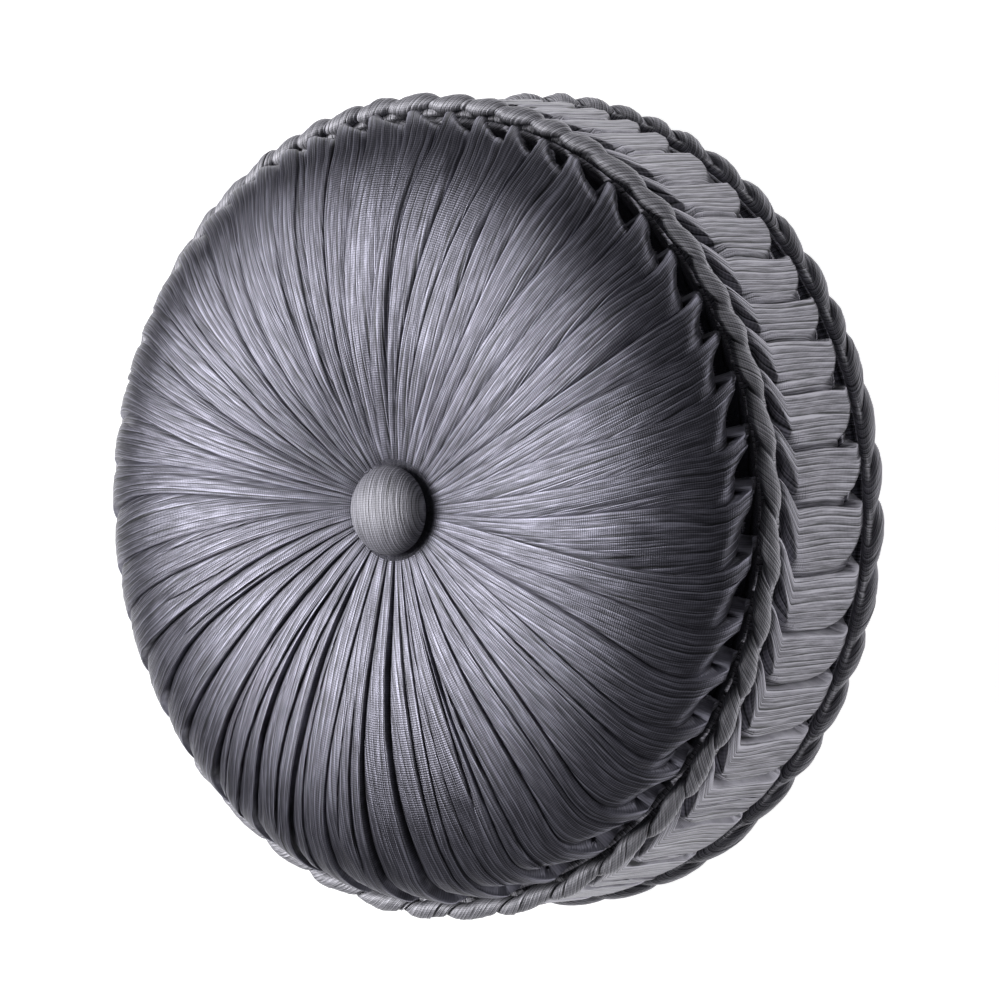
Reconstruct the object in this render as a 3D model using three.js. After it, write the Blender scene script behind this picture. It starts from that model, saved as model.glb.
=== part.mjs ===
import * as THREE from "three";

// A round tufted cushion that lies on its back, in millimetres.
// +Z is the way the pleated face looks, z = 0 is the surface it rests on,
// and the origin is the middle of its footprint.

// The two welts set the cushion's width and the height of its sides.
// ring is the radius of a welt's middle line, radius goes out to the crest of its folds,
// and slant is how far a fold's edge moves along from the middle of the cord to its side, in pleats.
const backWelt = { ring: 184.3, radius: 6.2, height: 30, fold: 1.7, slant: -0.42 };
const frontWelt = { ring: 181.2, radius: 7.2, height: 109, fold: 2.3, slant: 0.42 };
const weltSteps = 8;

// The sides lean a little: the front is this much nearer to -Y than the back
const frontLean = 2;

// The face: a dome above the front welt that the button draws in at the middle
const crownRise = 43;
const crownRadius = 180.5;
const crownFullness = 3.3;
const tuftDepth = 13.2;
const tuftReach = 62;
const tuftRoundness = 1.7;

// The covered button, in heights above the front welt
const buttonRadius = 20.2;
const buttonFootRadius = 18;
const buttonFoot = 30.6;
const buttonRim = 34.5;
const buttonDome = 12;
const buttonSides = 28;
const buttonSteps = 6;

// The knife pleats run round face, band and welts alike, uneven and widest on one side
const pleatCount = 48;
const pleatPitch = (2 * Math.PI) / pleatCount;
const widestAt = THREE.MathUtils.degToRad(185);
const widthWaves = [
  { perTurn: 1, share: 0.2, start: -widestAt },
  { perTurn: 7, share: 0.1, start: 0.4 },
  { perTurn: 17, share: 0.1, start: 1.3 },
];

// One pleat, from the side that is tucked under its neighbour to its crisp edge.
// along is in pleats, sunk is the share of the row's fold depth.
const pleatSection = [
  { along: 0, sunk: 1 },
  { along: 0.3, sunk: 0.42 },
  { along: 0.66, sunk: 0.13 },
  { along: 0.94, sunk: 0 },
];
const halfSection = [pleatSection[0], pleatSection[2]]; // where the pleats crowd round the button
const plainSection = [{ along: 0, sunk: 0 }];
const weltSection = [
  { along: 0, sunk: 1 },
  { along: 0.42, sunk: 0.25 },
  { along: 0.9, sunk: 0 },
];

// Rows of the face from the button outwards. fold is the depth of a pleat,
// drift is how far the pleats are drawn sideways there, in pleats.
const faceRows = [
  { radius: 23, fold: 0.7, drift: 0, section: halfSection },
  { radius: 34, fold: 1.2, drift: 0, section: halfSection },
  { radius: 50, fold: 1.9, drift: 0, section: halfSection },
  { radius: 70, fold: 2.6, drift: 0, section: pleatSection },
  { radius: 94, fold: 3.3, drift: 0, section: pleatSection },
  { radius: 120, fold: 4, drift: 0, section: pleatSection },
  { radius: 142, fold: 4.6, drift: 0, section: pleatSection },
  { radius: 159, fold: 5.2, drift: 0.02, section: pleatSection },
  { radius: 170, fold: 5.6, drift: 0.07, section: pleatSection },
  { radius: 177, fold: 5.8, drift: 0.16, section: pleatSection },
  { radius: 179.8, fold: 5.2, drift: 0.28, section: pleatSection },
];

// Below the face's shoulder the pleats are drawn in behind the front welt.
// height counts from the front welt.
const faceTuckRows = [
  { radius: 176.8, height: 7.6, fold: 3.8, drift: 0.42, section: pleatSection },
  { radius: 174.1, height: 3.3, fold: 2.4, drift: 0.5, section: pleatSection },
  { radius: 173.6, height: -1.7, fold: 1.2, drift: 0.55, section: pleatSection },
];

// The hub that the button sits on, also in heights above the front welt
const hubHeight = 30;
const hubRows = [
  { radius: 17.5, height: 30.2, fold: 0, drift: 0, section: halfSection },
  { radius: 20.5, height: 30.6, fold: 0.4, drift: 0, section: halfSection },
];

// The body's side, just inside the band, and its plain back, pressed flat where it lies
const waistRows = [
  { radius: 168.9, height: 107.2 },
  { radius: 176, height: 91.7 },
  { radius: 176, height: 38.3 },
  { radius: 174, height: 31.8 },
];
const backRows = [
  { radius: 177.7, height: 31.7 },
  { radius: 177.9, height: 27.5 },
  { radius: 180.5, height: 23.8 },
  { radius: 181.2, height: 19.5 },
  { radius: 179.5, height: 14 },
  { radius: 174, height: 8.2 },
  { radius: 164, height: 3.8 },
  { radius: 148, height: 0.9 },
  { radius: 132, height: 0 },
  { radius: 24, height: 0 },
  { radius: 11, height: 3 },
];
const backDimple = 4.5;

// The boxing band's outside, from its edge at the front welt to its edge at the back welt,
// and its inside on the way back
const bandRows = [
  { radius: 173.8, height: 106.8, fold: 0.8, drift: 0.62 },
  { radius: 175.6, height: 103.8, fold: 1.4, drift: 0.56 },
  { radius: 178.8, height: 100.8, fold: 2.6, drift: 0.42 },
  { radius: 182.6, height: 98.4, fold: 4, drift: 0.26 },
  { radius: 184.8, height: 90, fold: 4.6, drift: 0 },
  { radius: 185.6, height: 69.5, fold: 4.4, drift: 0 },
  { radius: 186, height: 46, fold: 4.6, drift: 0 },
  { radius: 185.2, height: 38.6, fold: 4.8, drift: 0.1 },
  { radius: 179.9, height: 35.2, fold: 2.4, drift: 0.2 },
  { radius: 177.8, height: 32.2, fold: 0.8, drift: 0.25 },
];
const liningRows = [
  { radius: 174.5, height: 32.2 },
  { radius: 176.5, height: 38 },
  { radius: 176.5, height: 92 },
  { radius: 169.4, height: 106.8 },
];

// Slow waves in the pleats' lines across the face
const swayWidth = 0.22; // pleats
const swayPerTurn = 3;

const cloths = {
  panel: { color: 0x666674, roughness: 0.5 },
  band: { color: 0x6c6c7a, roughness: 0.55 },
  welt: { color: 0x565662, roughness: 0.6 },
  button: { color: 0x6a6a79, roughness: 0.55 },
};

// Angle of a place that is counted in pleats round the cushion
function pleatAngle(place) {
  const even = place * pleatPitch;
  return widthWaves.reduce(
    (angle, wave) => angle + (wave.share / wave.perTurn) * Math.sin(wave.perTurn * even + wave.start),
    even,
  );
}

// How much deeper or shallower one pleat is than the others
function foldVariety(pleat) {
  return 1 + 0.16 * Math.sin(2.4 * pleat) + 0.1 * Math.sin(5.3 * pleat + 1);
}

// Height of the face's crests above the front welt
function crownHeight(radius) {
  const dome = crownRise * (1 - (radius / crownRadius) ** crownFullness) ** (1 / crownFullness);
  return dome - tuftDepth * Math.exp(-((radius / tuftReach) ** tuftRoundness));
}

// How far the sides have leant over at a height
function leanAt(height) {
  const share = (height - backWelt.height) / (frontWelt.height - backWelt.height);
  return frontLean * THREE.MathUtils.clamp(share, 0, 1);
}

// A ring of points at each pleat's section. inward is the way in which folds sink.
function pleatedRing(row, inward) {
  const points = [];
  for (let pleat = 0; pleat < pleatCount; pleat++) {
    for (const { along, sunk } of row.section) {
      const sway = (row.sway ?? 0) * Math.sin(swayPerTurn * pleat * pleatPitch);
      const angle = pleatAngle(pleat + along + row.drift + sway);
      const depth = row.fold * sunk * foldVariety(pleat);
      const radius = row.radius + inward.x * depth;
      const height = row.height + inward.y * depth;
      points.push([radius * Math.cos(angle), radius * Math.sin(angle) - leanAt(height), height]);
    }
  }
  return points;
}

function plainRow(row) {
  return { ...row, fold: 0, drift: 0, section: plainSection };
}

// Folds sink at a right angle to the line through the neighbouring rows
function pleatedRings(rows) {
  return rows.map((row, i) => {
    const before = rows[Math.max(i - 1, 0)];
    const after = rows[Math.min(i + 1, rows.length - 1)];
    const inward = new THREE.Vector2(after.height - before.height, before.radius - after.radius);
    return pleatedRing(row, inward.normalize());
  });
}

// Triangles between two rings, where one may have several points to each of the other's
function bridge(faces, upper, lower) {
  const steps = Math.max(upper.length, lower.length);
  const pick = (ring, step) => ring[Math.floor((step * ring.length) / steps) % ring.length];
  for (let step = 0; step < steps; step++) {
    const [above, aboveNext] = [pick(upper, step), pick(upper, step + 1)];
    const [below, belowNext] = [pick(lower, step), pick(lower, step + 1)];
    if (below !== belowNext) {
      faces.push(above, below, belowNext);
    }
    if (above !== aboveNext) {
      faces.push(above, belowNext, aboveNext);
    }
  }
}

// A closed skin over rings that run down the outside of a piece. A ring-shaped piece
// joins its last ring to its first, any other starts and ends with a single point.
function skin(rings, isRing) {
  const numbered = [];
  let count = 0;
  for (const ring of rings) {
    numbered.push(ring.map((_, i) => count + i));
    count += ring.length;
  }
  const faces = [];
  for (let i = 1; i < numbered.length; i++) {
    bridge(faces, numbered[i - 1], numbered[i]);
  }
  if (isRing) {
    bridge(faces, numbered[numbered.length - 1], numbered[0]);
  }
  const geometry = new THREE.BufferGeometry();
  geometry.setAttribute("position", new THREE.Float32BufferAttribute(rings.flat(2), 3));
  geometry.setIndex(faces);
  geometry.computeVertexNormals();
  return geometry;
}

function clothMesh(name, geometry, cloth) {
  const mesh = new THREE.Mesh(geometry, new THREE.MeshStandardMaterial({ ...cloth, metalness: 0 }));
  mesh.name = name;
  return mesh;
}

// The filled cushion: pleated face, drawn-in side under the band, plain back
function cushionBody() {
  const onWelt = (row) => ({ ...row, height: frontWelt.height + row.height });
  const crown = faceRows.map((row) => {
    const across = (row.radius - buttonRadius) / (crownRadius - buttonRadius);
    const sway = swayWidth * Math.sin(Math.PI * across);
    return { ...row, height: crownHeight(row.radius), sway };
  });
  const front = [...hubRows, ...crown, ...faceTuckRows].map(onWelt);
  const rings = [
    [[0, -frontLean, frontWelt.height + hubHeight]],
    ...pleatedRings(front),
    ...pleatedRings([...waistRows, ...backRows].map(plainRow)),
    [[0, 0, backDimple]],
  ];
  return clothMesh("cushion_body", skin(rings, false), cloths.panel);
}

// The pleated strip round the side, with a plain inner wall
function boxingBand() {
  const outer = pleatedRings(bandRows.map((row) => ({ ...row, section: pleatSection })));
  const inner = pleatedRings(liningRows.map(plainRow));
  return clothMesh("boxing_band", skin([...outer, ...inner], true), cloths.band);
}

// A welt: a cord in a ruched cover, whose folds slant round it
function weltRing(name, welt) {
  const rings = [];
  for (let step = 0; step < weltSteps; step++) {
    const turn = Math.PI * (1 - (2 * step + 1) / weltSteps); // 0 faces outwards
    const inward = new THREE.Vector2(-Math.cos(turn), -Math.sin(turn));
    const row = {
      radius: welt.ring - inward.x * welt.radius,
      height: welt.height - inward.y * welt.radius,
      fold: welt.fold,
      drift: welt.slant * Math.sin(turn),
      section: weltSection,
    };
    rings.push(pleatedRing(row, inward));
  }
  return clothMesh(name, skin(rings, true), cloths.welt);
}

// The covered button: a flat foot, a round rim and a dome
function frontButton() {
  const outline = [new THREE.Vector2(0, buttonFoot), new THREE.Vector2(buttonFootRadius, buttonFoot)];
  for (let step = 0; step <= buttonSteps; step++) {
    const rise = (step / buttonSteps) * (Math.PI / 2);
    const radius = step < buttonSteps ? buttonRadius * Math.cos(rise) : 0;
    outline.push(new THREE.Vector2(radius, buttonRim + buttonDome * Math.sin(rise)));
  }
  const mesh = clothMesh("front_button", new THREE.LatheGeometry(outline, buttonSides), cloths.button);
  mesh.rotation.x = Math.PI / 2;
  mesh.position.set(0, -frontLean, frontWelt.height);
  return mesh;
}

const group = new THREE.Group();
group.name = "round_tufted_cushion";
group.add(
  cushionBody(),
  boxingBand(),
  weltRing("front_welt", frontWelt),
  weltRing("back_welt", backWelt),
  frontButton(),
);

export default group;
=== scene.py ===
import math

import bpy
import numpy as np
from mathutils import Matrix, Vector


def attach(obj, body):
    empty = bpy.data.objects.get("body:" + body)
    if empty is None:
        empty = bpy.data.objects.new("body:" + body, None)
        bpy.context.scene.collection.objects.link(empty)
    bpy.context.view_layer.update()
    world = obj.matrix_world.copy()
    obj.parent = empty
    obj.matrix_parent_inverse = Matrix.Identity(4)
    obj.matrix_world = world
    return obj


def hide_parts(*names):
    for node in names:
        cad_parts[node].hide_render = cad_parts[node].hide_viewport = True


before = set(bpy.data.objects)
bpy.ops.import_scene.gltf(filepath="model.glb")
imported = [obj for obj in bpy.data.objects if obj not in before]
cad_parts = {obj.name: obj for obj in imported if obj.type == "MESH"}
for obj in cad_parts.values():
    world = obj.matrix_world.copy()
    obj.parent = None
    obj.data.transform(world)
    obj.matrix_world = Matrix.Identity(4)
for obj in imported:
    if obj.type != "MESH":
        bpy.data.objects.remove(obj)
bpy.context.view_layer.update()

# A round tufted cushion that lies on its back. The tables are in millimetres and degrees,
# the meshes in metres.
mm = 0.001
fullTurn = 2 * math.pi


def table(names, rows):
    return dict(zip(names.split(), np.array(rows, float).T))


def rowsOf(columns):
    return zip(*columns.values())


# Camera

viewPoint = {
    "fromFaceNormal": 36.51,  # between the sight line and the face's normal
    "distance": 2286,
    "axisHeight": 69.5,  # the point looked at lies midway between the welts
    "roll": 93.87,
    "lens": 178.4,
    "focalPixels": 4955,
    "axisRight": -16.0,  # where that point stands in the picture, from its middle
    "axisUp": -4.0,
}


def placeCamera(look):
    tilt, roll = math.radians(look["fromFaceNormal"]), math.radians(look["roll"])
    towards = Vector((0, -math.sin(tilt), math.cos(tilt)))
    across, upward = Vector((1, 0, 0)), Vector((0, math.cos(tilt), math.sin(tilt)))
    right = across * math.cos(roll) - upward * math.sin(roll)
    up = across * math.sin(roll) + upward * math.cos(roll)
    axisPoint = Vector((0, 0, look["axisHeight"] * mm))
    place = axisPoint + towards * look["distance"] * mm
    perPixel = look["distance"] * mm / look["focalPixels"]
    aim = axisPoint - (right * look["axisRight"] + up * look["axisUp"]) * perPixel
    back = (place - aim).normalized()
    right = up.cross(back).normalized()
    up = back.cross(right)
    bpy.ops.object.camera_add(location=place)
    camera = bpy.context.object
    camera.name = "camera"
    camera.rotation_euler = Matrix((right, up, back)).transposed().to_euler()
    camera.data.lens = look["lens"]
    camera.data.sensor_width = 36
    camera.data.clip_start, camera.data.clip_end = 0.05, 50
    bpy.context.scene.camera = camera


placeCamera(viewPoint)
print("camera placed")


# Pleats, laid alike round face, band and welts

pleats = {
    "count": 48,
    "widthWaves": table("perTurn share start", [  # how the width changes round the cushion
        (1, 0.2, math.radians(-185)),
        (7, 0.1, 0.4),
        (17, 0.1, 1.3),
    ]),
    # towards the button the folds are drawn together on one side
    "pull": table("perTurn degrees towards", [(1, 8.5, 72), (2, 8.5, 72)]),
    "pullAt": table("radius share", [(23, 1), (51, 0.68), (92, 0.42), (134, 0.2), (164, 0)]),
    "frontLean": 2.0,  # the front is this much nearer to -Y than the back
    "leanFrom": 30,
    "leanTo": 109,
    "overhang": 0.06,  # how far a crisp edge hangs over its neighbour, in fold widths
    "fullAt": 1.2,  # depth of the step at which it does so
    "paintedHighlightFullAt": 3,  # depth of the step at which the painted highlight on its crisp edge is at full strength
    "wanderRange": (0.3, 1),
    "proudest": 0.6,  # how far a point may stand out past its row
    "clothStep": 41.0,  # how far the cloth's pattern moves on from pleat to pleat
    "plainRadius": 180.0,  # of the plain rings, in the cloth's own coordinates
    "seed": 11,
}
lesserFolds = {
    "spans": ((0.1, 0.47), (0.53, 0.9)),  # shares of the pleat's width in which each edge stays
    "inset": 0.1,
    "tilt": 0.25,
    "tiltReach": 100,
    "sway": 0.03,
    "swayReach": 33,
    "fadeIn": 25,
    "fadeOut": 18,
    "strengthRange": (0.35, 1),
    "carried": 0.35,  # share of the rise that sinks back over the next fold
}
fineFolds = {
    "waves": table("width strength sway reach", [(5.3, 1, 1.1, 27), (3.1, 0.6, 1.3, 19)]),
    "fullAt": 12,  # fainter in narrower pleats
    "narrowestAt": 20,  # no pleat counts as narrower than at this radius
}

# One fold, from the valley under its neighbour up to its crisp edge and round it.
# along and won are shares of its width and depth, over is the share of the overhang, and the fourth column is
# a painted highlight: how much lighter the colour is painted there, on and round the crisp edge.
knifeFold = table("along won over crest", [
    (0.00, 0.00, 0.0, 0.0),
    (0.04, 0.30, 0.0, 0.0),
    (0.11, 0.54, 0.0, 0.0),
    (0.24, 0.76, 0.0, 0.0),
    (0.42, 0.91, 0.0, 0.0),
    (0.62, 0.98, 0.0, 0.0),
    (0.80, 1.00, 0.0, 0.3),
    (0.93, 0.99, 0.6, 1.0),
    (0.985, 0.86, 1.0, 0.7),
])
# A flatter one for the side band, and a leaf of a ruched welt, fullest in its middle
flatFold = dict(knifeFold, won=np.array([0, 0.45, 0.76, 0.92, 0.98, 1.0, 1.0, 0.99, 0.86]))
leafFold = dict(knifeFold, won=np.array([0, 0.36, 0.62, 0.85, 1.0, 0.99, 0.93, 0.87, 0.74]),
                over=np.array([0, 0, 0, 0, 0, 0, 0, 0.2, 0.3]))

foldSteps = len(knifeFold["along"])
edgeSteps = 3  # the last ones, on the crisp edge
foldsPerPleat = 3  # the pleat's own fold and two lesser ones
pleatSteps = foldsPerPleat * foldSteps
pleatNumber = np.arange(pleats["count"])
chance = np.random.RandomState(pleats["seed"])


def pleatAngle(place, radius=200.0):
    even = place * (fullTurn / pleats["count"])
    angle = even.copy()
    for perTurn, share, start in rowsOf(pleats["widthWaves"]):
        angle += share / perTurn * np.sin(perTurn * even + start)
    share = np.interp(radius, pleats["pullAt"]["radius"], pleats["pullAt"]["share"])
    drawn = sum(degrees * np.sin(perTurn * (math.radians(towards) - angle))
                for perTurn, degrees, towards in rowsOf(pleats["pull"]))
    return angle + share * np.radians(drawn)


def leanAt(height):
    share = (height - pleats["leanFrom"]) / (pleats["leanTo"] - pleats["leanFrom"])
    return pleats["frontLean"] * np.clip(share, 0, 1)


def smoothStep(x):
    x = np.clip(x, 0, 1)
    return x * x * (3 - 2 * x)


def runAlong(radius, height):
    return np.concatenate([[0], np.cumsum(np.hypot(np.diff(radius), np.diff(height)))])


def fillRows(keys):
    # rows on a smooth curve through the key rows, as many as each key's steps say
    steps = keys["steps"].astype(int)
    last = len(steps) - 1
    at = np.concatenate([np.arange(i, i + 1, 1 / steps[i]) for i in range(last)] + [[float(last)]])
    i = np.minimum(at.astype(int), last - 1)
    t = at - i
    reach = np.hypot(np.diff(keys["radius"]), np.diff(keys["height"]))
    filled = {}
    for name, values in keys.items():
        rate = np.diff(values) / reach
        inner = (rate[1:] * reach[:-1] + rate[:-1] * reach[1:]) / (reach[1:] + reach[:-1])
        slope = np.concatenate([rate[:1], inner, rate[-1:]])
        if name not in ("radius", "height"):
            flat = np.concatenate([[True], rate[1:] * rate[:-1] <= 0, [True]])
            slope = np.where(flat, 0, slope)
        h00, h10 = 2 * t**3 - 3 * t**2 + 1, t**3 - 2 * t**2 + t
        h01, h11 = -2 * t**3 + 3 * t**2, t**3 - t**2
        filled[name] = (h00 * values[i] + h10 * reach[i] * slope[i]
                        + h01 * values[i + 1] + h11 * reach[i] * slope[i + 1])
    return filled


def joinRows(*parts):
    names = set.intersection(*[set(part) for part in parts])
    return {name: np.concatenate([part[name] for part in parts]) for name in names}


def foldedRings(rows, habit, section=knifeFold):
    # rows x pleats x steps of points, and the cloth's own coordinates at both ends of each step
    column = {name: values[:, None, None] for name, values in rows.items()}
    k = pleatNumber[None, :, None]
    radius, height = rows["radius"], rows["height"]
    run = runAlong(radius, height)
    inwardX, inwardY = np.gradient(height, run), -np.gradient(radius, run)
    long = np.hypot(inwardX, inwardY)
    inwardX, inwardY = (inwardX / long)[:, None, None], (inwardY / long)[:, None, None]
    along = run[:, None, None]

    def perPleat(low, high):
        return chance.uniform(low, high, pleats["count"])[None, :, None]

    # depth of the step at each pleat's start
    ripple = 1 + habit["unevenAlong"] * np.sin(along / habit["unevenReach"] + perPleat(0, fullTurn))
    low, high = habit["depthRange"]
    uneven = low + (high - low) * perPleat(0, 1) ** 2
    uneven = np.where(k == habit["deepPleat"], high, uneven)
    facing = np.cos(pleatAngle(k + 0.0) - math.radians(habit["deepestAt"]))
    depth = column["fold"] * uneven * ripple * (1 + habit["deeperThere"] * facing)
    nextDepth = np.roll(depth, -1, axis=1)
    # lesser folds, which come and go along the pleat
    calm = column["calm"] if "calm" in rows else 0
    edges, steps = [np.zeros_like(depth)], []
    tilt, inset = lesserFolds["tilt"], lesserFolds["inset"]
    for low, high in lesserFolds["spans"]:
        slope = perPleat(-tilt, tilt) * (along / lesserFolds["tiltReach"] - 1)
        edge = perPleat(low + inset, high - inset) + slope
        edge = edge + lesserFolds["sway"] * np.sin(along / lesserFolds["swayReach"] + perPleat(0, fullTurn))
        edges.append(np.clip(edge, low, high))
        kept = perPleat(0, 1) < habit["lesserShare"]
        fadeIn = smoothStep((along - perPleat(*habit["lesserFrom"])) / lesserFolds["fadeIn"])
        fadeOut = smoothStep((perPleat(*habit["lesserTo"]) - along) / lesserFolds["fadeOut"])
        strength = kept * perPleat(*lesserFolds["strengthRange"])
        steps.append(strength * habit["lesserDepth"] * column["fold"] * fadeIn * fadeOut)
    edges.append(np.ones_like(depth))
    steps.append(nextDepth)
    # each fold line wanders a little on its way
    wander = habit["wander"] * np.sin(along / habit["wanderReach"] + perPleat(0, fullTurn))
    wander = wander * perPleat(*pleats["wanderRange"]) * (1 - calm)
    nextWander = np.roll(wander, -1, axis=1)

    places, lifts, paintedHighlights = [], [], []
    back, carried = lesserFolds["carried"], 0
    for m in range(foldsPerPleat):
        lead = pleats["overhang"] * section["over"] * np.clip(steps[m] / pleats["fullAt"], 0, 1)
        x = section["along"] + lead
        places.append(edges[m] + x * (edges[m + 1] - edges[m]))
        own = steps[m] if m < foldsPerPleat - 1 else 0 * depth
        lifts.append(own * (section["won"] - back * section["along"]) - carried * (1 - section["along"]))
        carried = back * own
        # painted highlight on this fold's crisp edge, full where the step is deep
        paintedHighlights.append(section["crest"] * np.clip(steps[m] / pleats["paintedHighlightFullAt"], 0, 1))
    s = np.concatenate(places, axis=2)
    sNext = np.concatenate([s[:, :, 1:], np.ones_like(s[:, :, :1])], axis=2)
    # how far the surface has risen from the valley to the crest
    won = np.interp(s, section["along"], section["won"])
    sunk = depth * (1 - won)
    turned = np.maximum.accumulate(section["won"]) - section["won"]
    turned = np.concatenate([np.zeros(pleatSteps - foldSteps), turned])
    sunk = np.where(np.arange(pleatSteps) >= pleatSteps - edgeSteps, nextDepth * turned, sunk)
    sunk = sunk - np.concatenate(lifts, axis=2)
    # dark pits where the cloth is drawn in beside a crisp edge
    facing = np.cos(pleatAngle(k + 0.5) - math.radians(habit["widestAt"]))
    pitTo = column["pitTo"] * (1 + habit["widerPits"] * facing)
    wall = (s / pitTo - habit["pitFloor"]) / (1 - habit["pitFloor"])
    sunk = sunk + column["pit"] * perPleat(*habit["pitRange"]) * (1 - smoothStep(wall))
    # pointed ends of the leaves
    arch = np.sin(math.pi * np.clip(s, 0, 1))
    if "notch" in rows:
        notched = perPleat(*habit["notchRange"]) * (1 - arch) ** habit["notchPower"]
        sunk = sunk + column["notch"] * notched + column["sink"]
    # fine folds
    pleatWidth = pleatAngle(k + 1.0) - pleatAngle(k + 0.0)
    pleatWidth = pleatWidth * np.maximum(column["radius"], fineFolds["narrowestAt"])
    fine = 0
    for width, strength, sway, reach in rowsOf(fineFolds["waves"]):
        phase = fullTurn * s * pleatWidth / width + perPleat(0, fullTurn)
        fine = fine + strength * np.sin(phase + sway * np.sin(along / reach + perPleat(0, fullTurn)))
    fine = habit["fine"] * fine * np.clip(pleatWidth / fineFolds["fullAt"], 0, 1) * arch ** 0.5
    sunk = np.maximum(sunk + fine, -pleats["proudest"])
    if "deepest" in rows:
        sunk = np.minimum(sunk, column["deepest"])

    place = k + s + (1 - s) * wander + s * nextWander + column["drift"]
    angle = pleatAngle(place, column["radius"])
    r = column["radius"] + inwardX * sunk
    z = column["height"] + inwardY * sunk
    points = np.stack([r * np.cos(angle), r * np.sin(angle) - leanAt(z), z], axis=-1)
    shift = pleats["clothStep"] * k + habit["clothShift"]
    down = np.broadcast_to(along, s.shape)
    cloth = [np.stack([(1 - x) * pleatWidth + shift, down], axis=-1) for x in (s, sNext)]
    # the painted highlight, scaled row by row; none where a row has no share
    crest = np.concatenate(paintedHighlights, axis=2) * column["crestShare"] if "crestShare" in rows else 0 * s
    size = len(radius), pleats["count"] * pleatSteps
    return points.reshape(*size, 3), [ends.reshape(*size, 2) for ends in cloth], crest.reshape(size)


def plainRings(rows, around):
    # smooth rings, with fewer points than the pleated ones
    place = np.arange(around) * (pleats["count"] / around)
    r, z = rows["radius"][:, None], rows["height"][:, None]
    angle = pleatAngle(place[None, :], r)
    points = np.stack([r * np.cos(angle), r * np.sin(angle) - leanAt(z), z + 0 * angle], axis=-1)
    down = np.broadcast_to(runAlong(rows["radius"], rows["height"])[:, None], angle.shape)
    across = [(angle + step * fullTurn / around) * pleats["plainRadius"] for step in (0, 1)]
    return points, [np.stack([u, down], axis=-1) for u in across], np.zeros(angle.shape)


class Skin:
    # a closed cloth skin that is sewn up ring by ring

    def __init__(self):
        self.points, self.faces, self.cloth, self.crest, self.rings = [], [], [], [], []
        self.count = 0

    # the last argument gives each point its painted highlight, a lightening of its colour
    def addRings(self, points, ends, crest):
        for i in range(len(points)):
            self.crest.extend(crest[i].tolist())
            self.rings.append((self.count, len(points[i]), ends[0][i], ends[1][i]))
            self.points.append(points[i])
            self.count += len(points[i])

    def sew(self, upper, lower):
        firstA, countA, startA, endA = upper
        firstB, countB, startB, endB = lower
        if countA == countB:
            i = np.arange(countA)
            j = (i + 1) % countA
            quads = np.stack([firstA + i, firstB + i, firstB + j, firstA + j], axis=1)
            self.faces.extend(quads.tolist())
            self.cloth.append(np.stack([startA, startB, endB, endA], axis=1).reshape(-1, 2))
            return
        if countA > countB:
            ratio = countA // countB
            for j in range(countB):
                top = [(j * ratio + m) % countA for m in range(ratio + 1)]
                face = [firstB + j, firstB + (j + 1) % countB] + [firstA + t for t in reversed(top)]
                uv = [startB[j], endB[j]] + [startA[t] for t in reversed(top)]
                self.faces.append(face)
                self.cloth.append(np.array(uv))
            return
        ratio = countB // countA
        for i in range(countA):
            low = [(i * ratio + m) % countB for m in range(ratio + 1)]
            face = [firstA + (i + 1) % countA, firstA + i] + [firstB + t for t in low]
            uv = [endA[i], startA[i]] + [startB[t] for t in low]
            self.faces.append(face)
            self.cloth.append(np.array(uv))

    def close(self, ring, point, order=1):
        # order 1 closes the first ring upwards, -1 the last one downwards
        first, count, start, end = ring
        for i in range(count):
            self.faces.append([self.count, *[first + i, first + (i + 1) % count][::order]])
            self.cloth.append(np.array([(start[i] + end[i]) / 2, *[start[i], end[i]][::order]]))
        self.points.append(np.array([point], float))
        self.crest.append(0)
        self.count += 1

    def make(self, name, isRing=False):
        pairs = list(zip(self.rings, self.rings[1:]))
        if isRing:
            pairs.append((self.rings[-1], self.rings[0]))
        for upper, lower in pairs:
            self.sew(upper, lower)
        mesh = bpy.data.meshes.new(name)
        mesh.from_pydata((np.concatenate(self.points) * mm).tolist(), [], self.faces)
        layer = mesh.uv_layers.new(name="cloth")
        layer.data.foreach_set("uv", (np.concatenate(self.cloth) * mm).ravel())
        # each point's painted highlight, read by the material to lighten the colour
        crest = mesh.attributes.new("crest", "FLOAT", "POINT")
        crest.data.foreach_set("value", np.array(self.crest, float))
        mesh.shade_smooth()
        mesh.validate()
        piece = bpy.data.objects.new(name, mesh)
        bpy.context.collection.objects.link(piece)
        print(name, len(mesh.vertices), "points", sum(len(f) - 2 for f in self.faces), "triangles")
        return piece


# Cushion: pleated face, drawn-in side under the band, plain back

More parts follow.
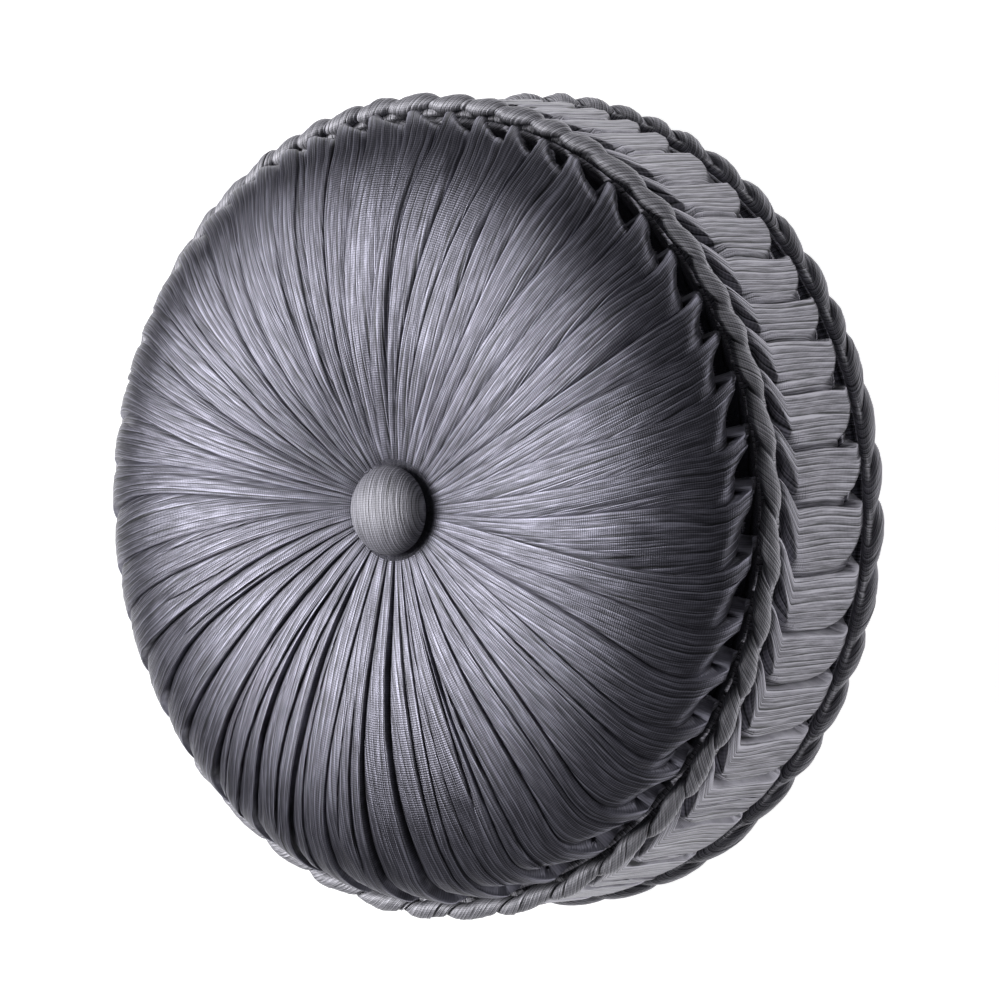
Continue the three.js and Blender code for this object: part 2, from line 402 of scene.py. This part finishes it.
cushion = {
    "weltHeight": 109,
    "crownRise": 43,
    "crownRadius": 180.5,
    "crownFullness": 3.3,
    "tuftDepth": 13.2,
    "tuftReach": 62,
    "tuftRoundness": 1.7,
    "faceFrom": 23,
    "faceTo": 179.8,
    "faceRows": 44,
    "closerInwards": 1.2,  # power by which the rows stand closer near the button
    "habit": {
        "depthRange": (0.4, 1.6),
        "deepestAt": 150,
        "deeperThere": 0.25,
        "unevenAlong": 0.22,
        "unevenReach": 24,
        "lesserShare": 0.42,
        "lesserDepth": 0.6,
        "lesserFrom": (0, 70),
        "lesserTo": (110, 190),
        "wander": 0.17,
        "wanderReach": 31,
        "pitRange": (0.6, 1.2),
        "pitFloor": 0.4,
        "widerPits": 0,
        "widestAt": 270,
        "deepPleat": 46,
        "fine": 0.12,
        "clothShift": 3,
    },
    "foldAt": table("radius fold", [
        (23, 0.8), (34, 1.6), (50, 2.3), (70, 2.8), (94, 3.1), (120, 3.3),
        (142, 3.4), (159, 3.5), (170, 3.6), (177, 3.8), (179.8, 3.8),
    ]),
    "driftAt": table("radius drift", [(156, 0), (168, 0.03), (174, 0.11), (177.5, 0.23), (179.8, 0.38)]),
    "pitAt": table("radius pit", [(170, 0), (174, 1.2), (177, 4), (179, 7.5), (179.8, 9.5)]),
    # what grows smoothly towards the rim: its start, its growth, from which radius and over what reach
    "pitToGrowth": (0.3, 0.55, 172, 7),
    # the painted highlight on the crisp edges grows towards the rim
    "paintedHighlightGrowth": (0.25, 0.75, 168, 10),
    "calmGrowth": (0, 1, 150, 30),
    "tuckKeys": table("radius height fold drift pit pitTo calm steps", [
        (179.8, 11.5, 3.8, 0.38, 9.5, 0.85, 1, 3),
        (177.4, 7.4, 3.2, 0.52, 11.0, 0.9, 1, 3),
        (174.4, 3.3, 2.4, 0.60, 10.0, 0.9, 1, 2),
        (173.6, -1.7, 1.2, 0.62, 8.0, 0.9, 1, 1),
    ]),
    "hubKeys": table("radius height steps", [(3, 29.9, 1), (17.5, 30.2, 1)]),
    "hubMiddle": 29.8,
    "hubAround": 144,
    "waistKeys": table("radius height steps", [
        (168.9, 107.2, 2), (174.5, 91.7, 2), (174.5, 38.3, 1), (173.6, 31.8, 1),
    ]),
    "backKeys": table("radius height steps", [
        (177.7, 31.7, 1), (179.5, 27.5, 1), (180.5, 23, 2), (179, 19, 2), (175.5, 14, 2), (169.5, 9.3, 2),
        (161, 4.8, 2), (149, 1.4, 2), (136, 0.0, 1), (24, 0.0, 1), (11, 3, 1),
    ]),
    "plainAround": 432,
    "backDimple": 4.5,
}


def crownHeight(radius):
    fullness = cushion["crownFullness"]
    dome = cushion["crownRise"] * (1 - (radius / cushion["crownRadius"]) ** fullness) ** (1 / fullness)
    return dome - cushion["tuftDepth"] * np.exp(-((radius / cushion["tuftReach"]) ** cushion["tuftRoundness"]))


def growth(radius, start, gain, at, reach):
    return start + gain * smoothStep((radius - at) / reach)


def crownRows():
    power = 2 / cushion["crownFullness"]
    inner, outer = [math.asin((cushion[end] / cushion["crownRadius"]) ** (1 / power))
                    for end in ("faceFrom", "faceTo")]
    share = np.linspace(0, 1, cushion["faceRows"]) ** cushion["closerInwards"]
    radius = cushion["crownRadius"] * np.sin(inner + (outer - inner) * share) ** power
    rows = {name: np.interp(radius, cushion[name + "At"]["radius"], cushion[name + "At"][name])
            for name in ("fold", "drift", "pit")}
    return dict(rows, radius=radius, height=crownHeight(radius),
                pitTo=growth(radius, *cushion["pitToGrowth"]),
                crestShare=growth(radius, *cushion["paintedHighlightGrowth"]),
                calm=growth(radius, *cushion["calmGrowth"]))


def makeCushion():
    tuck = {name: values[1:] for name, values in fillRows(cushion["tuckKeys"]).items()}
    # the tuck rows carry the full painted highlight
    tuck["crestShare"] = np.ones(len(tuck["radius"]))
    front = joinRows(crownRows(), tuck)
    front["height"] = front["height"] + cushion["weltHeight"]
    hub = fillRows(cushion["hubKeys"])
    hub["height"] = hub["height"] + cushion["weltHeight"]
    skin = Skin()
    skin.addRings(*plainRings(hub, cushion["hubAround"]))
    skin.addRings(*foldedRings(front, cushion["habit"]))
    for keys in (cushion["waistKeys"], cushion["backKeys"]):
        skin.addRings(*plainRings(fillRows(keys), cushion["plainAround"]))
    skin.close(skin.rings[0], (0, -pleats["frontLean"], cushion["weltHeight"] + cushion["hubMiddle"]))
    skin.close(skin.rings[-1], (0, 0, cushion["backDimple"]), order=-1)
    return skin.make("pleated_cushion")


# Boxing band: one pleated strip round the side

band = {
    "habit": {
        "depthRange": (0.7, 1.3),
        "deepestAt": 270,
        "deeperThere": 0,
        "unevenAlong": 0.15,
        "unevenReach": 9,
        "lesserShare": 0.3,
        "lesserDepth": 0.3,
        "lesserFrom": (-20, 10),
        "lesserTo": (40, 90),
        "wander": 0.04,
        "wanderReach": 11,
        "pitRange": (0.4, 1.3),
        "pitFloor": 0.35,
        "widerPits": 0.45,
        "widestAt": 315,
        "deepPleat": 40,
        "fine": 0.1,
        "clothShift": 17,
    },
    # one column gives the share of the painted highlight on the crisp edges
    "rowKeys": table("radius height fold drift pit pitTo deepest crestShare steps", [
        (173.8, 106.8, 0.8, 0.78, 0.0, 0.3, 1.5, 0, 1),
        (175.6, 103.8, 1.4, 0.74, 2.0, 0.35, 3, 0, 2),
        (178.8, 101.4, 3.0, 0.66, 7.0, 0.5, 8, 0.5, 3),
        (182.6, 98.8, 3.8, 0.48, 9.0, 0.5, 9.5, 1, 4),
        (184.3, 94.0, 3.8, 0.16, 8.5, 0.42, 10, 1, 4),
        (184.8, 90.5, 3.4, 0.00, 6.0, 0.28, 10, 0.7, 4),
        (185.6, 69.5, 3.0, 0.00, 2.4, 0.11, 10, 0.6, 5),
        (186.2, 54.0, 3.4, 0.00, 3.5, 0.16, 10, 0.6, 5),
        (186.7, 46.5, 4.2, 0.00, 6.5, 0.3, 10, 0.8, 4),
        (186.7, 41.0, 4.6, 0.02, 8.5, 0.5, 10, 1, 4),
        (185.2, 37.4, 3.6, 0.10, 8.0, 0.6, 8, 1, 2),
        (181.5, 35.6, 2.4, 0.16, 4.0, 0.6, 5, 0, 2),
        (177.0, 33.4, 0.8, 0.25, 0.0, 0.6, 1.5, 0, 1),
    ]),
    "liningKeys": table("radius height steps", [
        (174.3, 33.4, 1), (175.0, 39, 2), (175.0, 92, 1), (169.4, 106.8, 1),
    ]),
    "liningAround": 432,
}


def makeBand():
    skin = Skin()
    skin.addRings(*foldedRings(fillRows(band["rowKeys"]), band["habit"], flatFold))
    skin.addRings(*plainRings(fillRows(band["liningKeys"]), band["liningAround"]))
    return skin.make("pleated_band", isRing=True)


# Welts: cords in ruched covers

frontRuching = {
    "ring": 181.2,
    "radius": 7.4,
    "height": 109,
    "fold": 3.0,
    "slant": 0.3,
    "middle": 54,  # where round the cord the leaves are fullest, 0 faces outwards and 90 up
    "notch": 0.8,
    "notchEnds": 5.5,
    "sink": 3.2,  # how far a whole leaf goes down at its ends and on the hidden side
    "deepest": 6.4,
    "hiddenFrom": 0.2,  # cosine at which the plain, hidden side begins
    "hiddenReach": 0.45,  # and how far on it is all plain
    "hiddenCalm": 0.8,  # share of the folds' depth that is lost there
    "turns": 32,
    "habit": {
        "depthRange": (0.8, 1.3),
        "deepestAt": 270,
        "deeperThere": 0,
        "unevenAlong": 0.12,
        "unevenReach": 4,
        "lesserShare": 0.5,
        "lesserDepth": 0.3,
        "lesserFrom": (-30, -26),
        "lesserTo": (90, 95),
        "wander": 0.02,
        "wanderReach": 6,
        "pitRange": (0, 0.1),
        "pitFloor": 0,
        "widerPits": 0,
        "widestAt": 270,
        "deepPleat": 30,
        "notchRange": (0.5, 1.3),
        "notchPower": 1.3,
        "fine": 0.1,
        "clothShift": 29,
    },
}
backRuching = dict(frontRuching, ring=185.5, radius=4.7, height=28.4, fold=1.8, slant=-0.34,
                   middle=-5, notch=3.2, notchEnds=1.5, sink=0, deepest=4.0)


def makeWelt(name, welt):
    turn = math.pi * (1 - (2 * np.arange(welt["turns"]) + 1) / welt["turns"])  # 0 faces outwards
    fromMiddle = turn - math.radians(welt["middle"])
    ends = np.sin(np.clip(fromMiddle, -math.pi / 2, math.pi / 2)) ** 2
    hidden = smoothStep((welt["hiddenFrom"] - np.cos(fromMiddle)) / welt["hiddenReach"])
    rows = {
        "radius": welt["ring"] + welt["radius"] * np.cos(turn),
        "height": welt["height"] + welt["radius"] * np.sin(turn),
        "fold": welt["fold"] * (1 - welt["hiddenCalm"] * hidden),
        "drift": welt["slant"] * np.sin(fromMiddle),
        "pit": np.zeros(len(turn)),  # a welt has notches and no pits
        "pitTo": np.ones(len(turn)),
        "notch": (welt["notch"] + welt["notchEnds"] * ends) * (1 - hidden),
        "sink": welt["sink"] * ends ** 2,
        "deepest": np.full(len(turn), float(welt["deepest"])),
    }
    skin = Skin()
    skin.addRings(*foldedRings(rows, welt["habit"], leafFold))
    return skin.make(name, isRing=True)


# Button: a padded dome in the same cloth

button = {
    "radius": 20.2,
    "foot": 139.6,
    "rim": 143.5,
    "dome": 12,
    "centreY": -2,
    "around": 96,
    "rings": 20,
}


def makeButton():
    bpy.ops.object.select_all(action="DESELECT")
    bpy.ops.mesh.primitive_uv_sphere_add(segments=button["around"], ring_count=2 * button["rings"],
                                         radius=button["radius"] * mm)
    piece = bpy.context.object
    piece.name = piece.data.name = "covered_button"
    for vertex in piece.data.vertices:
        share = vertex.co.z / (button["radius"] * mm)
        height = button["dome"] if share > 0 else button["rim"] - button["foot"]
        vertex.co.z = (button["rim"] + height * share) * mm
        vertex.co.y += button["centreY"] * mm
    bpy.ops.object.shade_smooth()
    layer = piece.data.uv_layers[0]
    layer.name = "cloth"
    for loop in piece.data.loops:
        place = piece.data.vertices[loop.vertex_index].co
        layer.data[loop.index].uv = (place.y, place.x)
    return piece


# Cloth

clothLook = {
    "linePitch": 3.1,
    "finePitch": 1.9,
    "lineStrength": 0.7,
    "lineProfile": ((0, 0.48), (0.08, 0), (0.22, 1), (0.36, 0.62), (1, 0.48)),
    "lineMean": 0.54,
    "lineDrift": 1.6,
    # spots per metre across and along the threads
    "strengthSpots": (170, 9),
    "driftSpots": (150, 5),
    "fineDriftSpots": (110, 6),
    "crossSpots": (150, 150),
    "slubSpots": (900, 60),
    "slubDetail": 3.0,
    "slubStrength": 0.9,
    "ribPitch": 1.05,
    "ribStrength": 0.07,
    "crossPitch": 1.05,
    "crossDrift": 5,
    "crossStrength": 0.07,
    # how much the painted highlight lightens the colour on crisp edges
    "paintedHighlightStrength": 0.5,
    "dark": (0.010, 0.010, 0.014, 1),
    "mid": (0.074, 0.072, 0.095, 1),
    "light": (0.28, 0.275, 0.345, 1),
    "metallic": 0.7,  # so that the stripes show in the shine too
    "roughness": 0.46,
    "gloss": 1.0,
    "refraction": 1.6,
    "lustre": 0.85,  # how much narrower the shine is along the threads than across them
    "sheen": 0.05,
    "relief": 0.4,  # mm
}
# The band, the welts and the button are the face's cloth with lighter mid and light colours; these lighter
# colours are painted light, standing in for the brighter light that falls on them.
bandLook = dict(clothLook, lineStrength=1.0, relief=0.12,
                mid=(0.175, 0.17, 0.2, 1), light=(0.45, 0.44, 0.5, 1))
weltLook = dict(bandLook, linePitch=2.2, finePitch=1.5, relief=0.25, metallic=0.35, roughness=0.6, lustre=0.5,
                mid=(0.22, 0.216, 0.246, 1), light=(0.52, 0.51, 0.57, 1))
buttonLook = dict(clothLook, linePitch=1.8, metallic=0.25, roughness=0.6, lustre=0.2,
                  mid=(0.18, 0.176, 0.212, 1), light=(0.42, 0.41, 0.48, 1))


def stripedCloth(name, look):
    material = bpy.data.materials.new(name)
    material.use_nodes = True
    tree = material.node_tree
    nodes, links = tree.nodes, tree.links
    shader = nodes["Principled BSDF"]

    def add(kind, inputs=(), **settings):
        node = nodes.new("ShaderNode" + kind)
        for key, value in settings.items():
            setattr(node, key, value)
        for key, value in dict(inputs).items():
            if isinstance(value, bpy.types.NodeSocket):
                links.new(value, node.inputs[key])
            else:
                node.inputs[key].default_value = value
        return node

    def maths(operation, a, b=0.0, c=0.0):
        return add("Math", {0: a, 1: b, 2: c}, operation=operation).outputs[0]

    parts = add("SeparateXYZ", {0: add("UVMap", uv_map="cloth").outputs["UV"]})
    across, down = parts.outputs[0], parts.outputs[1]

    def noise(spots, detail=2.0):
        place = add("CombineXYZ", {
            0: maths("MULTIPLY", across, spots[0]), 1: maths("MULTIPLY", down, spots[1]),
        })
        return add("TexNoise", {
            "Vector": place.outputs[0], "Scale": 1.0, "Detail": detail, "Roughness": 0.6,
        }, noise_dimensions="2D").outputs["Fac"]

    def ramp(fac, *stops):
        node = add("ValToRGB", {"Fac": fac})
        marks = node.color_ramp.elements
        for spare in list(marks)[1:]:
            marks.remove(spare)
        for i, (position, colour) in enumerate(stops):
            stop = marks[0] if i == 0 else marks.new(position)
            stop.position = position
            stop.color = colour
        return node.outputs["Color"]

    def lineSet(pitch, drift, strength):
        # thin bright lines, each with a dark one beside it
        phase = maths("MULTIPLY_ADD", across, 1 / (pitch * mm), maths("MULTIPLY", drift, look["lineDrift"]))
        line = ramp(maths("FRACT", phase), *[(at, (tone, tone, tone, 1)) for at, tone in look["lineProfile"]])
        return maths("MULTIPLY", maths("SUBTRACT", line, look["lineMean"]), strength)

    # the fine lines are strong where the wide ones are weak
    strength = maths("MULTIPLY", noise(look["strengthSpots"]), 2 * look["lineStrength"])
    wide = lineSet(look["linePitch"], noise(look["driftSpots"]), strength)
    fineStrength = maths("SUBTRACT", 1.3 * look["lineStrength"], strength)
    narrow = lineSet(look["finePitch"], noise(look["fineDriftSpots"]), fineStrength)
    lines = maths("ADD", maths("ADD", wide, narrow), 0.5)
    ribs = maths("SINE", maths("MULTIPLY", across, fullTurn / (look["ribPitch"] * mm)))
    uneven = maths("MULTIPLY", noise(look["crossSpots"]), look["crossDrift"])
    cross = maths("SINE", maths("MULTIPLY_ADD", down, fullTurn / (look["crossPitch"] * mm), uneven))
    slub = noise(look["slubSpots"], look["slubDetail"])
    tone = maths("MULTIPLY_ADD", ribs, look["ribStrength"], lines)
    tone = maths("MULTIPLY_ADD", maths("SUBTRACT", slub, 0.5), look["slubStrength"], tone)
    tone = maths("MULTIPLY_ADD", cross, look["crossStrength"], tone)
    # painted highlight: the colour is lightened along the crisp edges
    crest = add("Attribute", attribute_name="crest").outputs["Fac"]
    lit = maths("MULTIPLY_ADD", crest, look["paintedHighlightStrength"], tone)
    colour = ramp(lit, (0.15, look["dark"]), (0.5, look["mid"]), (0.95, look["light"]))
    links.new(colour, shader.inputs["Base Color"])
    bump = add("Bump", {"Height": tone, "Strength": 0.7, "Distance": look["relief"] * mm})
    links.new(bump.outputs["Normal"], shader.inputs["Normal"])
    for socket, key in (("Metallic", "metallic"), ("Roughness", "roughness"), ("Sheen Weight", "sheen"),
                        ("Specular IOR Level", "gloss"), ("IOR", "refraction"), ("Anisotropic", "lustre")):
        shader.inputs[socket].default_value = look[key]
    thread = add("Tangent", direction_type="UV_MAP", uv_map="cloth")
    links.new(thread.outputs["Tangent"], shader.inputs["Tangent"])
    return material


cushionPiece = makeCushion()
bandPiece = makeBand()
frontWelt = makeWelt("ruched_front_welt", frontRuching)
backWelt = makeWelt("ruched_back_welt", backRuching)
buttonPiece = makeButton()

cloths = {
    "welt_cloth": stripedCloth("welt cloth", weltLook),
    "panel_cloth": stripedCloth("panel cloth", clothLook),
    "band_cloth": stripedCloth("band cloth", bandLook),
    "button_cloth": stripedCloth("button cloth", buttonLook),
}
for piece, node, slotName, fill in (
    (cushionPiece, "cushion_body", "panel_cloth", 0.85),
    (bandPiece, "boxing_band", "band_cloth", 0.6),
    (frontWelt, "front_welt", "welt_cloth", 0.8),
    (backWelt, "back_welt", "welt_cloth", 0.8),
    (buttonPiece, "front_button", "button_cloth", 1.0),
):
    piece.data.materials.append(cloths[slotName])
    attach(piece, "root")
    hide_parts(node)
print("pieces made")


# Floor and light, in metres

studio = {
    "floorSize": 14,
    "floorBelow": 0.0005,
    "floorRoughness": 0.9,
    "floor": (0.35, 0.35, 0.355, 1),
    "glow": (1.0, 1.0, 1.0, 1),
    "glowStrength": 0.97,
    "glowTo": (0.5, 1.1, 0.15),  # it fades from the first to the second distance, to this share
    "sky": (0.95, 0.97, 1.0, 1),
    "skyStrength": 0.06,
    "litHeight": 0.07,  # the lights point at this height
    "lights": [  # towards +X, +Y and +Z, distance, size, power
        (0.12, 0.65, 0.75, 2.4, 1.5, 93),
        (0.0, -0.99, 0.1, 2.4, 1.2, 8),
    ],
}


def makeStudio():
    bpy.ops.object.select_all(action="DESELECT")
    bpy.ops.mesh.primitive_plane_add(size=studio["floorSize"], location=(0, 0, -studio["floorBelow"]))
    floor = bpy.context.object
    floor.name = "floor"
    material = bpy.data.materials.new("floor")
    material.use_nodes = True
    nodes, links = material.node_tree.nodes, material.node_tree.links
    shader = nodes["Principled BSDF"]
    shader.inputs["Base Color"].default_value = studio["floor"]
    shader.inputs["Roughness"].default_value = studio["floorRoughness"]
    shader.inputs["Emission Color"].default_value = studio["glow"]
    place = nodes.new("ShaderNodeTexCoord")
    reach = nodes.new("ShaderNodeVectorMath")
    reach.operation = "LENGTH"
    fade = nodes.new("ShaderNodeMapRange")
    fade.interpolation_type = "SMOOTHSTEP"
    near, far, share = studio["glowTo"]
    for name, value in (("From Min", near), ("From Max", far), ("To Min", studio["glowStrength"]),
                        ("To Max", studio["glowStrength"] * share)):
        fade.inputs[name].default_value = value
    links.new(place.outputs["Object"], reach.inputs[0])
    links.new(reach.outputs["Value"], fade.inputs["Value"])
    links.new(fade.outputs["Result"], shader.inputs["Emission Strength"])
    floor.data.materials.append(material)
    world = bpy.data.worlds.new("studio")
    bpy.context.scene.world = world
    world.use_nodes = True
    backdrop = world.node_tree.nodes["Background"]
    backdrop.inputs["Color"].default_value = studio["sky"]
    backdrop.inputs["Strength"].default_value = studio["skyStrength"]
    for x, y, z, distance, size, power in studio["lights"]:
        aim = Vector((x, y, z)).normalized()
        bpy.ops.object.light_add(type="AREA", location=Vector((0, 0, studio["litHeight"])) + aim * distance)
        light = bpy.context.object
        light.rotation_euler = aim.to_track_quat("Z", "Y").to_euler()
        light.data.shape = "DISK"
        light.data.size = size
        light.data.energy = power


makeStudio()
bpy.context.scene.view_settings.view_transform = "Standard"
print("studio made")

bpy.context.view_layer.update()
